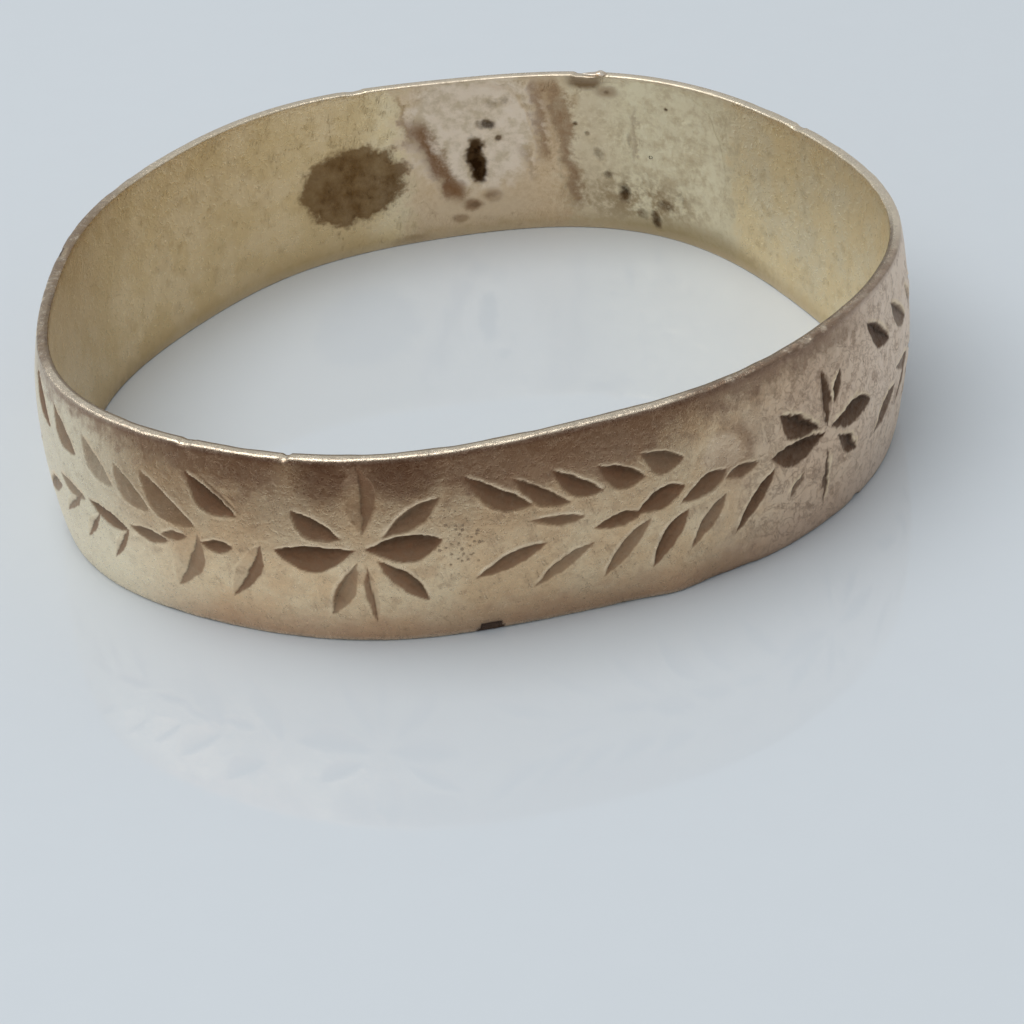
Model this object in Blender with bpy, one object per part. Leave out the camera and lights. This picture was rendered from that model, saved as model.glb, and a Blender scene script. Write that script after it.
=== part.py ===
"""A thin engraved gold wedding band that a jeweller has enlarged at the back.

The band was cut, a plain sizing piece was let in and soldered at both ends, and solder ran over the
inner face and left one bead on the top rim. It is worn out of round and stands on its bottom rim.

Frame: metres, +Z up, the bottom rim on z = 0, the origin under the middle of the ring's box.
-Y is the front. Angles are in degrees from the front towards +X, so the solder joints are near 180.
Run it with: blender --background --python part.py
"""

import math

import bmesh
import bpy
from mathutils import Vector

MM = 0.001

# The hoop, in millimetres.
MEAN_RADIUS = 9.7  # of the outer face at the rims, averaged round the ring
BAND_HEIGHT = 4.73
RIM_WALL = 0.26
CROWN = 0.26  # how far the middle of the outer face stands out past the rims
EDGE_ROUND = 0.05
CLEARANCE = 0.02  # between two pieces that solder holds together
STATION_STEP = 3.0  # degrees between cross-sections
ACROSS_FACE = 6  # spans across the crowned outer face

# Wear has bent the hoop. Each row is (waves round the ring, size in mm, angle of a high point).
OUT_OF_ROUND = (
    (2, 0.32, 126.0),
    (3, 0.24, 65.0),
    (4, 0.10, -32.5),
    (5, 0.08, 7.0),
    (6, 0.03, -28.0),
    (7, 0.055, -8.0),
    (8, 0.035, -16.5),
)
# The same for how far the top rim leans out and the bottom rim leans in.
LEAN = ((0, 0.03, 0.0), (1, 0.16, 0.0), (2, 0.07, 81.5), (3, 0.12, -9.5), (4, 0.04, 27.5))
# The same for the height of the top rim.
RIM_RISE = ((1, 0.12, 51.5), (2, 0.08, 36.5))

# The repair at the back: a let-in piece between two solder joints.
JOINT_RIGHT = 164.0  # angle of the middle of each joint
JOINT_LEFT = 186.0
JOINT_WIDTH = 0.2

# Solder that ran over the inner face: (centre angle, centre height, width and height in mm).
FLOOD_THICKNESS = 0.06
FLOOD_EDGE = 0.025  # thickness left at a flood's edge
FLOOD_LEFT = (176.0, 0.70, 3.1, 2.6)
FLOOD_RIGHT = (148.5, 0.52, 4.4, 4.3)
FLOOD_RINGS = 5
FLOOD_SPOKES = 28
# Pits that burnt through the floods: (angle, share of the height, half-width, half-height in mm).
PITS_LEFT = ((177.0, 0.62, 0.17, 0.34), (172.0, 0.86, 0.10, 0.10))
PITS_RIGHT = (
    (156.5, 0.69, 0.13, 0.11),
    (152.0, 0.65, 0.11, 0.13),
    (153.5, 0.33, 0.12, 0.12),
    (147.5, 0.26, 0.14, 0.10),
)

# The bead of solder on the top rim.
BEAD_ANGLE = 157.5
BEAD_LENGTH = 0.8
BEAD_WIDTH = 0.26
BEAD_HEIGHT = 0.09

# The engraving: bright cuts made with a tilted graver, deepest in the middle of each stroke.
CUT_DEPTH = 0.11
CUT_LIFT = 0.015  # how far a cut's edges start above the face, so that each one breaks through it
CUT_ROOF = 0.25  # height of the cutter above the face
STAR_FIRST = -145.0  # angle of the first star; the joints interrupt the pattern after the last
STAR_STEP = 65.5
STAR_COUNT = 5
STAR_HEIGHT = 0.56  # share of the band's height
STAR_HUB = 0.16  # bare gold at a star's centre
JOINT_MARGIN = 1.5  # degrees without cuts beside a solder joint

# A star's petals: (direction in degrees from the ring's right towards the top, length, width).
PETALS = (
    (95, 1.75, 0.52),
    (38, 1.95, 0.42),
    (2, 1.70, 0.46),
    (-45, 1.70, 0.42),
    (-84, 1.60, 0.40),
    (-118, 1.70, 0.36),
    (-175, 1.95, 0.50),
    (147, 1.65, 0.44),
)
# A spray's leaves: (start along, start height, end along, end height, width in mm). Along is a share
# of the way from one star to the next, and height is a share of the band's height.
SPRAY_OPEN = (
    (0.20, 0.87, 0.32, 0.63, 0.34),
    (0.30, 0.79, 0.40, 0.60, 0.36),
    (0.375, 0.80, 0.475, 0.64, 0.36),
    (0.465, 0.79, 0.555, 0.68, 0.34),
    (0.55, 0.81, 0.64, 0.71, 0.34),
    (0.32, 0.60, 0.43, 0.54, 0.20),
    (0.445, 0.48, 0.53, 0.52, 0.30),
    (0.535, 0.53, 0.63, 0.58, 0.34),
    (0.625, 0.50, 0.72, 0.57, 0.30),
    (0.72, 0.55, 0.80, 0.56, 0.28),
    (0.21, 0.34, 0.345, 0.46, 0.36),
    (0.32, 0.24, 0.44, 0.41, 0.36),
    (0.46, 0.22, 0.55, 0.46, 0.40),
    (0.565, 0.20, 0.635, 0.45, 0.40),
    (0.65, 0.24, 0.72, 0.47, 0.36),
    (0.755, 0.24, 0.84, 0.49, 0.36),
    (0.885, 0.29, 0.915, 0.40, 0.18),
)
SPRAY_CLOSE = (
    (0.18, 0.80, 0.29, 0.60, 0.34),
    (0.29, 0.82, 0.40, 0.62, 0.36),
    (0.385, 0.84, 0.475, 0.67, 0.34),
    (0.475, 0.80, 0.56, 0.62, 0.34),
    (0.54, 0.84, 0.65, 0.60, 0.40),
    (0.655, 0.85, 0.755, 0.67, 0.38),
    (0.28, 0.52, 0.38, 0.48, 0.26),
    (0.39, 0.50, 0.495, 0.44, 0.28),
    (0.505, 0.47, 0.59, 0.46, 0.26),
    (0.60, 0.50, 0.655, 0.51, 0.20),
    (0.67, 0.49, 0.735, 0.50, 0.24),
    (0.17, 0.30, 0.28, 0.44, 0.34),
    (0.29, 0.28, 0.37, 0.44, 0.32),
    (0.36, 0.22, 0.42, 0.40, 0.30),
    (0.44, 0.21, 0.50, 0.40, 0.32),
    (0.575, 0.22, 0.66, 0.44, 0.40),
    (0.73, 0.24, 0.81, 0.50, 0.42),
)


def clear_scene():
    for obj in list(bpy.data.objects):
        bpy.data.objects.remove(obj, do_unlink=True)


def waves(rows, angle):
    """Sums the rows of a bent shape at an angle, in millimetres."""
    return sum(size * math.cos(math.radians(count * (angle - high))) for count, size, high in rows)


def rim_radius(angle, share):
    """The outer radius without the crown, at a share of the height from the bottom."""
    return MEAN_RADIUS + waves(OUT_OF_ROUND, angle) + waves(LEAN, angle) * (2 * share - 1)


def top(angle):
    return BAND_HEIGHT + waves(RIM_RISE, angle)


def place(angle, radius, height):
    turn = math.radians(angle)
    return Vector((radius * math.sin(turn), -radius * math.cos(turn), height))


def on_outer_face(angle, share, out=0.0):
    """A point that lies out millimetres off the crowned outer face."""
    bulge = CROWN * (1 - (2 * share - 1) ** 2)
    return place(angle, rim_radius(angle, share) + bulge + out, share * top(angle))


def on_inner_face(angle, share, inward=0.0):
    """A point that lies inward millimetres off the inner face."""
    return place(angle, rim_radius(angle, share) - RIM_WALL - inward, share * top(angle))


def degrees_of(length):
    """The angle that a length along the band spans."""
    return math.degrees(length / MEAN_RADIUS)


def profile(angle):
    """The band's cross-section at an angle, as a ring of points from the bottom rim, outside first."""
    edge = EDGE_ROUND / top(angle)
    wall_in = RIM_WALL - EDGE_ROUND
    points = []
    for share, inset in ((0.0, wall_in), (0.0, EDGE_ROUND)):
        points.append(place(angle, rim_radius(angle, share) - inset, share * top(angle)))
    for step in range(ACROSS_FACE + 1):
        points.append(on_outer_face(angle, edge + (1 - 2 * edge) * step / ACROSS_FACE))
    for share, inset in ((1.0, EDGE_ROUND), (1.0, wall_in)):
        points.append(place(angle, rim_radius(angle, share) - inset, share * top(angle)))
    for share in (1 - edge, 0.5, edge):
        points.append(on_inner_face(angle, share))
    return points


def gold(name, colour, roughness):
    material = bpy.data.materials.new(name)
    material.use_nodes = True
    shader = material.node_tree.nodes["Principled BSDF"]
    shader.inputs["Base Color"].default_value = (*colour, 1.0)
    shader.inputs["Metallic"].default_value = 1.0
    shader.inputs["Roughness"].default_value = roughness
    material.diffuse_color = (*colour, 1.0)
    return material


def add_object(name, shape, material):
    """Turns a bmesh in millimetres into a smooth-shaded object whose faces point out."""
    shape.normal_update()
    bmesh.ops.recalc_face_normals(shape, faces=shape.faces)
    bmesh.ops.scale(shape, vec=(MM, MM, MM), verts=shape.verts)
    mesh = bpy.data.meshes.new(name)
    shape.to_mesh(mesh)
    shape.free()
    mesh.shade_smooth()
    mesh.set_sharp_from_angle(angle=math.radians(35))
    if material:
        mesh.materials.append(material)
    obj = bpy.data.objects.new(name, mesh)
    bpy.context.scene.collection.objects.link(obj)
    return obj


def join_rings(shape, rings, closed=True):
    """Makes quads between neighbouring rings of vertices."""
    for first, second in zip(rings, rings[1:]):
        count = len(first)
        for i in range(count if closed else count - 1):
            j = (i + 1) % count
            shape.faces.new((first[i], first[j], second[j], second[i]))


def add_bent_strip(name, start, end, material):
    """Bends the band's cross-section round the hoop from one angle to another, with flat ends."""
    shape = bmesh.new()
    count = max(2, round((end - start) / STATION_STEP))
    rings = []
    for i in range(count + 1):
        angle = start + (end - start) * i / count
        rings.append([shape.verts.new(point) for point in profile(angle)])
    join_rings(shape, rings)
    shape.faces.new(rings[0])
    shape.faces.new(rings[-1])
    return add_object(name, shape, material)


def cut_stroke(shape, start, end, width, lean):
    """Adds one graver stroke's cutter: a spindle whose keel lies nearer one side of the leaf.

    start and end are (angle, share of the height), and lean moves the keel across the leaf.
    """
    run = Vector(((end[0] - start[0]) / degrees_of(1.0), (end[1] - start[1]) * BAND_HEIGHT))
    side = Vector((-run.y, run.x)).normalized()

    def point(along, across, out):
        angle = start[0] + (end[0] - start[0]) * along + degrees_of(side.x * across)
        share = start[1] + (end[1] - start[1]) * along + side.y * across / BAND_HEIGHT
        return shape.verts.new(on_outer_face(angle, share, out))

    first = point(0.0, 0.0, CUT_LIFT)
    last = point(1.0, 0.0, CUT_LIFT)
    rings = []
    for along, fullness in ((0.25, 0.75), (0.55, 1.0), (0.82, 0.65)):
        half = fullness * width / 2
        keel = half * lean
        rings.append((
            point(along, -half, CUT_LIFT),
            point(along, keel, -CUT_DEPTH * fullness),
            point(along, half, CUT_LIFT),
            point(along, keel, CUT_ROOF),
        ))
    join_rings(shape, rings)
    for tip, ring in ((first, rings[0]), (last, rings[-1])):
        for i in range(4):
            shape.faces.new((tip, ring[i], ring[(i + 1) % 4]))


def clear_of_joints(start, end):
    low = JOINT_LEFT - 360 + degrees_of(JOINT_WIDTH) + JOINT_MARGIN
    high = JOINT_RIGHT - degrees_of(JOINT_WIDTH) - JOINT_MARGIN
    return low < min(start[0], end[0]) and max(start[0], end[0]) < high


def add_engraving_cutter():
    """All the strokes of the stars and of the sprays between them, as one cutter."""
    shape = bmesh.new()
    for k in range(STAR_COUNT):
        centre = STAR_FIRST + k * STAR_STEP
        for direction, length, width in PETALS:
            turn = math.radians(direction)
            ends = []
            for reach in (STAR_HUB, length):
                angle = centre + degrees_of(reach * math.cos(turn))
                ends.append((angle, STAR_HEIGHT + reach * math.sin(turn) / BAND_HEIGHT))
            cut_stroke(shape, ends[0], ends[1], width, 0.3)
    for k in range(-1, STAR_COUNT):
        leaves = SPRAY_OPEN if k % 2 == 0 else SPRAY_CLOSE
        base = STAR_FIRST + k * STAR_STEP
        for from_along, from_height, to_along, to_height, width in leaves:
            start = (base + from_along * STAR_STEP, from_height)
            end = (base + to_along * STAR_STEP, to_height)
            if clear_of_joints(start, end):
                cut_stroke(shape, start, end, width, 0.35)
    cutter = add_object("engraving_cutter", shape, None)
    cutter.hide_render = True
    cutter.display_type = "WIRE"
    return cutter


def add_cut(obj, cutter, self_crossing=False):
    cut = obj.modifiers.new("cut_" + cutter.name, "BOOLEAN")
    cut.operation = "DIFFERENCE"
    cut.solver = "EXACT"
    cut.use_self = self_crossing
    cut.object = cutter


def flood_outline(spoke, wave):
    """How far a flood's ragged edge reaches along a spoke, as a share of its half-size."""
    turn = 2 * math.pi * spoke / FLOOD_SPOKES
    ragged = 0.07 * math.sin(3 * turn + wave) + 0.05 * math.sin(5 * turn + 2 * wave)
    return 0.9 + ragged


def add_flood(name, flood, wave, material):
    """A thin run of solder on the inner face: a ragged sheet, thickest in its middle."""
    centre_angle, centre_share, width, height = flood
    shape = bmesh.new()

    def point(ring, spoke, inward):
        turn = 2 * math.pi * spoke / FLOOD_SPOKES
        reach = ring / FLOOD_RINGS * flood_outline(spoke, wave)
        angle = centre_angle + degrees_of(reach * width / 2 * math.cos(turn))
        share = centre_share + reach * height / 2 * math.sin(turn) / BAND_HEIGHT
        limit = EDGE_ROUND / BAND_HEIGHT
        share = min(max(share, limit), 1 - limit)
        return shape.verts.new(on_inner_face(angle, share, inward))

    sides = []
    for inner_side in (False, True):
        rings = []
        for ring in range(1, FLOOD_RINGS + 1):
            swell = 1 - (ring / FLOOD_RINGS) ** 2
            thickness = FLOOD_EDGE + (FLOOD_THICKNESS - FLOOD_EDGE) * swell
            inward = CLEARANCE + (thickness if inner_side else 0.0)
            rings.append([point(ring, spoke, inward) for spoke in range(FLOOD_SPOKES)])
        middle = point(0, 0, CLEARANCE + (FLOOD_THICKNESS if inner_side else 0.0))
        join_rings(shape, rings)
        for spoke in range(FLOOD_SPOKES):
            shape.faces.new((middle, rings[0][spoke], rings[0][(spoke + 1) % FLOOD_SPOKES]))
        sides.append(rings[-1])
    join_rings(shape, sides)
    return add_object(name, shape, material)


def add_pit_cutter(name, pits):
    """Oval pegs through a flood, one for each pit."""
    shape = bmesh.new()
    sides = 10
    for angle, share, half_width, half_height in pits:
        rings = []
        for inward in (CLEARANCE / 2, 3 * FLOOD_THICKNESS):
            ring = []
            for i in range(sides):
                turn = 2 * math.pi * i / sides
                around = angle + degrees_of(half_width * math.cos(turn))
                up = share + half_height * math.sin(turn) / BAND_HEIGHT
                ring.append(shape.verts.new(on_inner_face(around, up, inward)))
            rings.append(ring)
        join_rings(shape, rings)
        shape.faces.new(rings[0])
        shape.faces.new(rings[1])
    cutter = add_object(name, shape, None)
    cutter.hide_render = True
    cutter.display_type = "WIRE"
    return cutter


def add_bead(material):
    """A domed bead that sits on the top rim."""
    shape = bmesh.new()
    bmesh.ops.create_uvsphere(shape, u_segments=20, v_segments=12, radius=1.0)
    lower = [vert for vert in shape.verts if vert.co.z < -0.01]
    bmesh.ops.delete(shape, geom=lower, context="VERTS")
    rim = [edge for edge in shape.edges if edge.is_boundary]
    bmesh.ops.contextual_create(shape, geom=rim)
    middle = rim_radius(BEAD_ANGLE, 1.0) - RIM_WALL / 2
    for vert in shape.verts:
        angle = BEAD_ANGLE + degrees_of(vert.co.x * BEAD_LENGTH / 2)
        radius = middle + vert.co.y * BEAD_WIDTH / 2
        vert.co = place(angle, radius, top(BEAD_ANGLE) + bead_seat() + vert.co.z * BEAD_HEIGHT)
    return add_object("rim_bead", shape, material)


def bead_seat():
    """The clearance under the bead, plus what the rim rises within its length."""
    ends = (BEAD_ANGLE - degrees_of(BEAD_LENGTH / 2), BEAD_ANGLE + degrees_of(BEAD_LENGTH / 2))
    return CLEARANCE + max(top(angle) - top(BEAD_ANGLE) for angle in (*ends, BEAD_ANGLE))


def centre_on_origin():
    """Moves all the points so that the origin is under the middle of the ring's box."""
    objects = list(bpy.context.scene.collection.objects)
    pieces = [obj for obj in objects if not obj.hide_render]
    middle = Vector()
    for axis in (0, 1):
        values = [vert.co[axis] for obj in pieces for vert in obj.data.vertices]
        middle[axis] = (min(values) + max(values)) / 2
    for obj in objects:
        for vert in obj.data.vertices:
            vert.co -= middle


def build():
    clear_scene()
    rose = gold("rose_gold", (0.80, 0.58, 0.40), 0.28)
    pale = gold("pale_gold", (0.82, 0.70, 0.52), 0.30)
    copper = gold("coppery_solder", (0.62, 0.40, 0.26), 0.38)
    pink = gold("pink_solder", (0.78, 0.66, 0.58), 0.36)
    grey = gold("granular_solder", (0.62, 0.60, 0.48), 0.50)
    bright = gold("bright_solder", (0.90, 0.80, 0.62), 0.20)

    half_joint = degrees_of(JOINT_WIDTH / 2)
    gap = degrees_of(CLEARANCE)
    band = add_bent_strip("band", JOINT_LEFT - 360 + half_joint + gap, JOINT_RIGHT - half_joint - gap, rose)
    add_bent_strip("joint_solder_right", JOINT_RIGHT - half_joint, JOINT_RIGHT + half_joint, copper)
    add_bent_strip("sizing_piece", JOINT_RIGHT + half_joint + gap, JOINT_LEFT - half_joint - gap, pale)
    add_bent_strip("joint_solder_left", JOINT_LEFT - half_joint, JOINT_LEFT + half_joint, copper)
    add_cut(band, add_engraving_cutter(), self_crossing=True)

    flood_left = add_flood("solder_flood_left", FLOOD_LEFT, 0.6, pink)
    add_cut(flood_left, add_pit_cutter("pit_cutter_left", PITS_LEFT))
    flood_right = add_flood("solder_flood_right", FLOOD_RIGHT, 2.1, grey)
    add_cut(flood_right, add_pit_cutter("pit_cutter_right", PITS_RIGHT))
    add_bead(bright)
    centre_on_origin()


build()
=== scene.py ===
import math

import bpy
import numpy as np
from bpy.props import FloatProperty, FloatVectorProperty, IntProperty, PointerProperty
from mathutils import Matrix, Vector


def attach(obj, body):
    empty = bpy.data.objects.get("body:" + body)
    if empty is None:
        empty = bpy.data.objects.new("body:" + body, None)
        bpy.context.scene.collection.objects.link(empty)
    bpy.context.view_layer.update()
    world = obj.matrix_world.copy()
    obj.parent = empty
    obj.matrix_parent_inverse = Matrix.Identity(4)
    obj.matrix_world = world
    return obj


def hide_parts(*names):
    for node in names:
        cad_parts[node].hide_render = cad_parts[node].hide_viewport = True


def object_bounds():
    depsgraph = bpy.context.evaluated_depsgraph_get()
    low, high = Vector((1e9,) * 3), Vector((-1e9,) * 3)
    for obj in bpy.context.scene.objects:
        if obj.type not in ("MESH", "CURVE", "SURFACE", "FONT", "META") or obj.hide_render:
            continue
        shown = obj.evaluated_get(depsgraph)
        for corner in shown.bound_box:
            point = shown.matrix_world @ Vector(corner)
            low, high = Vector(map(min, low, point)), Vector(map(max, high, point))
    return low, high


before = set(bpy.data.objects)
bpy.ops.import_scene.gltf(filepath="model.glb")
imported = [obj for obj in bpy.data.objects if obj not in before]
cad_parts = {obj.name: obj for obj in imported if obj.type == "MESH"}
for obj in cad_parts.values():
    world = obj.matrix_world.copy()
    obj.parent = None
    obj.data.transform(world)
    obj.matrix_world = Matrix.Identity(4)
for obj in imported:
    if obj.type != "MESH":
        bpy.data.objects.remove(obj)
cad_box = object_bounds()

bl_info = {
    "name": "Engraved wedding band",
    "version": (1, 0, 0),
    "blender": (4, 5, 0),
    "location": "View3D > Sidebar > Ring",
    "description": "Makes a worn, hand-engraved gold band that was enlarged at the back, and its stage",
    "category": "Object",
}

MM = 0.001
BAND_RADIUS = 9.7
BAND_HEIGHT = 4.73
HOOP_MM = math.pi / 180 * BAND_RADIUS  # length along the band of one degree

# The hoop's shape, in millimetres and in degrees from the front towards +X.
# Each row is (waves round the ring, size, angle of a high point).
OUT_OF_ROUND = (
    (2, 0.32, 126.0),
    (3, 0.24, 65.0),
    (4, 0.1, -32.5),
    (5, 0.08, 7.0),
    (6, 0.03, -28.0),
    (7, 0.055, -8.0),
    (8, 0.035, -16.5),
)
LEAN = ((0, 0.03, 0.0), (1, 0.16, 0.0), (2, 0.07, 81.5), (3, 0.12, -9.5), (4, 0.04, 27.5))
RIM_RISE = ((1, 0.12, 51.5), (2, 0.08, 36.5))

# The repair at the back.
JOINT_RIGHT = 164.0
JOINT_LEFT = 186.0
JOINT_WIDTH = 0.2
CLEARANCE = 0.02
HAIRLINE = 0.001  # between the filed-flush pieces as they look when finished
FLOOD_GAP = 0.003  # between a flood and the face under it
THIN_EDGE = 0.0015  # thickness of a flood where it thins out

# Floods of solder on the inner face: (centre angle, share of the height), (width, height) in mm, and
# their pits as (angle, share of the height, half-width, half-height in mm, how burnt).
FLOOD_LEFT = ((177.2, 0.54), (3.5, 4.3))
PITS_LEFT = (
    (177.4, 0.52, 0.2, 0.46, 1.0),
    (176.9, 0.42, 0.18, 0.34, 1.0),
    (175.2, 0.72, 0.2, 0.15, 0.7),
    (174.4, 0.85, 0.18, 0.12, 0.35),
    (171.8, 0.86, 0.13, 0.12, 0.35),
    (173.6, 0.62, 0.08, 0.08, 0.65),
    (178.3, 0.2, 0.15, 0.11, 0.45),
    (175.6, 0.25, 0.16, 0.12, 0.35),
    (180.6, 0.12, 0.12, 0.09, 0.3),
)
FLOOD_RIGHT = ((150.0, 0.51), (4.7, 4.5))
PITS_RIGHT = (
    (161.6, 0.69, 0.07, 0.06, 0.7),
    (159.9, 0.63, 0.06, 0.06, 0.5),
    (158.4, 0.5, 0.14, 0.18, 0.45),
    (157.3, 0.37, 0.11, 0.1, 0.55),
    (156.2, 0.9, 0.08, 0.07, 0.5),
    (155.0, 0.26, 0.14, 0.28, 0.8),
    (153.4, 0.6, 0.06, 0.18, 0.35),
    (152.4, 0.13, 0.16, 0.14, 0.45),
    (150.2, 0.1, 0.13, 0.24, 0.7),
    (148.4, 0.22, 0.18, 0.14, 0.5),
    (146.6, 0.84, 0.05, 0.04, 0.8),
    (145.4, 0.3, 0.1, 0.12, 0.35),
    (142.6, 0.78, 0.08, 0.06, 0.3),
)
BEAD_ANGLE = 157.5
BEAD_LENGTH = 0.8
BEAD_WIDTH = 0.26
BEAD_HEIGHT = 0.09
BEAD_INWARD = 0.04  # from the middle of the wall

# Coppery streaks on the inner face: (angle, lean in degrees, low end, high end, half-width in mm, strength).
STREAKS = (
    (183.6, 12.0, 0.24, 0.76, 0.36, 1.15),
    (186.8, 5.0, 0.62, 0.95, 0.14, 0.6),
    (163.4, 3.0, 0.16, 0.97, 0.26, 0.85),
    (166.6, 0.5, 0.46, 0.99, 0.24, 0.8),
    (162.3, 2.0, 0.55, 0.9, 0.16, 0.6),
    (169.5, 9.0, 0.34, 0.56, 0.14, 0.45),
    (152.8, -3.0, 0.48, 0.8, 0.12, 0.45),
)
# Coppery spots: (angle, share of the height, half-width, half-height in mm, strength).
SPOTS = (
    (178.3, 0.2, 0.26, 0.18, 0.75),
    (175.4, 0.25, 0.24, 0.2, 0.45),
    (180.6, 0.12, 0.2, 0.14, 0.55),
    (181.2, 0.32, 0.3, 0.22, 0.7),
    (156.2, 0.9, 0.3, 0.16, 0.55),
    (188.5, 0.02, 0.5, 0.16, 0.6),
)

# The engraving. A star has petals: (direction in degrees from the ring's right towards the top, inner end,
# outer end, width in mm, share of the width on the left of the axis, place of the keel, darkness).
# The keel, the deepest line, lies at 0 on the right edge of a stroke and at 1 on its left edge.
STAR_FIRST = -145.6
STAR_STEP = 65.5
STAR_COUNT = 5
STAR_HEIGHT = 0.55
STAR_FULL = (
    (90, 0.34, 2.08, 0.66, 0.46, 0.5, 0.8),
    (36, 0.45, 2.05, 0.44, 0.45, 0.84, 0.85),
    (6, -0.02, 1.66, 0.7, 0.34, 0.9, 1.0),
    (-50, 0.34, 1.92, 0.44, 0.55, 0.84, 0.98),
    (-88, 0.32, 2.04, 0.27, 0.5, 0.5, 0.9),
    (-116, 0.34, 2.02, 0.42, 0.62, 0.16, 0.7),
    (-176, 0.14, 1.92, 0.68, 0.8, 0.1, 1.0),
    (148, 0.48, 1.72, 0.48, 0.78, 0.12, 0.96),
)
STAR_WORN = (
    (92, 0.06, 1.5, 0.34, 0.5, 0.6, 1.0),
    (66, 0.55, 1.4, 0.26, 0.5, 0.75, 0.95),
    (-4, 0.1, 1.8, 0.6, 0.62, 0.84, 1.0),
    (-42, 0.42, 1.6, 0.34, 0.5, 0.8, 1.0),
    (-90, 0.36, 1.95, 0.19, 0.5, 0.75, 0.9),
    (176, 0.04, 1.84, 0.56, 0.82, 0.12, 1.0),
    (146, 0.28, 1.8, 0.58, 0.72, 0.15, 1.0),
)
# A spray has leaves: (start along, start height, end along, end height, width in mm, share of the width
# on the left, keel, darkness). Along is a share of the way to the next star, height of the band's.
SPRAY_OPEN = (
    (0.19, 0.895, 0.326, 0.685, 0.47, 0.14, 0.93, 0.88),
    (0.282, 0.85, 0.402, 0.66, 0.38, 0.14, 0.93, 0.86),
    (0.362, 0.85, 0.47, 0.69, 0.42, 0.14, 0.93, 0.95),
    (0.455, 0.82, 0.556, 0.71, 0.52, 0.2, 0.93, 0.95),
    (0.544, 0.83, 0.64, 0.75, 0.54, 0.2, 0.93, 0.84),
    (0.31, 0.61, 0.432, 0.57, 0.24, 0.3, 0.86, 0.8),
    (0.44, 0.49, 0.55, 0.53, 0.34, 0.5, 0.86, 0.95),
    (0.531, 0.52, 0.64, 0.605, 0.52, 0.55, 0.88, 1.0),
    (0.627, 0.51, 0.738, 0.605, 0.44, 0.55, 0.88, 0.92),
    (0.728, 0.565, 0.805, 0.59, 0.3, 0.5, 0.85, 0.8),
    (0.198, 0.325, 0.35, 0.47, 0.38, 0.62, 0.86, 0.9),
    (0.313, 0.215, 0.447, 0.42, 0.32, 0.62, 0.86, 0.7),
    (0.461, 0.19, 0.565, 0.48, 0.38, 0.6, 0.86, 0.75),
    (0.568, 0.185, 0.647, 0.47, 0.44, 0.6, 0.88, 1.0),
    (0.652, 0.225, 0.732, 0.49, 0.36, 0.6, 0.86, 0.8),
    (0.756, 0.225, 0.848, 0.52, 0.36, 0.6, 0.88, 1.0),
    (0.89, 0.29, 0.93, 0.41, 0.18, 0.5, 0.8, 0.7),
)
SPRAY_CLOSE = (
    (0.165, 0.92, 0.265, 0.72, 0.54, 0.3, 0.8, 1.0),
    (0.285, 0.88, 0.375, 0.7, 0.5, 0.2, 0.9, 0.8),
    (0.395, 0.84, 0.485, 0.64, 0.46, 0.2, 0.9, 0.35),
    (0.487, 0.78, 0.572, 0.59, 0.48, 0.2, 0.9, 0.36),
    (0.552, 0.8, 0.67, 0.565, 0.58, 0.16, 0.9, 0.52),
    (0.655, 0.86, 0.762, 0.67, 0.52, 0.14, 0.9, 0.98),
    (0.672, 0.885, 0.778, 0.67, 0.1, 0.5, 0.6, 0.9),
    (0.29, 0.52, 0.39, 0.48, 0.34, 0.35, 0.85, 0.7),
    (0.395, 0.5, 0.51, 0.43, 0.36, 0.35, 0.85, 0.9),
    (0.51, 0.47, 0.605, 0.45, 0.34, 0.35, 0.85, 0.8),
    (0.585, 0.475, 0.65, 0.505, 0.26, 0.5, 0.8, 0.75),
    (0.67, 0.49, 0.745, 0.495, 0.32, 0.35, 0.85, 0.92),
    (0.18, 0.3, 0.29, 0.44, 0.4, 0.6, 0.85, 0.85),
    (0.29, 0.3, 0.38, 0.5, 0.3, 0.55, 0.6, 0.85),
    (0.365, 0.24, 0.43, 0.45, 0.26, 0.55, 0.6, 0.95),
    (0.445, 0.21, 0.51, 0.44, 0.26, 0.55, 0.6, 0.95),
    (0.6, 0.185, 0.672, 0.53, 0.74, 0.46, 0.5, 0.75),
    (0.722, 0.2, 0.804, 0.54, 0.52, 0.42, 0.5, 0.95),
)

ENGRAVED_ZONE = (0.14, 0.92)  # shares of the height with rows close enough for the cuts

# Nicks in the rims: (angle, share of the height, half-length, depth in mm).
NICKS = (
    (-23.5, 1.0, 0.1, 0.05),
    (-37.0, 1.0, 0.16, 0.03),
    (159.2, 1.0, 0.36, 0.05),
    (196.0, 1.0, 0.3, 0.03),
    (120.0, 1.0, 0.2, 0.03),
    (-100.0, 0.0, 0.25, 0.05),
    (60.0, 0.0, 0.18, 0.04),
)

# Chips broken out of the outer edge: (angle, share of the height, half-length, height, depth in mm).
CHIPS = ((0.2, 0.0, 0.4, 0.24, 0.1), (-98.0, 1.0, 0.25, 0.14, 0.07), (120.0, 0.0, 0.22, 0.13, 0.07))

# Dents in the band: (angle, share of the height, half-width, depth in mm).
DENTS = (
    (32.6, 0.655, 0.6, 0.13),
    (37.6, 0.66, 0.34, -0.05),
    (41.5, 0.9, 0.35, -0.02),
    (-62.0, 0.55, 0.9, 0.03),
    (-3.0, 0.2, 0.8, 0.02),
    (20.0, 0.15, 0.9, -0.02),
    (-33.0, 0.2, 0.9, 0.025),
    (66.0, 0.3, 0.8, 0.035),
    (95.0, 0.6, 0.9, 0.03),
    (-110.0, 0.4, 0.9, 0.035),
    (130.0, 0.5, 0.8, -0.03),
    (-150.0, 0.65, 0.8, 0.03),
)


# ---------------------------------------------------------------- settings


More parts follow.
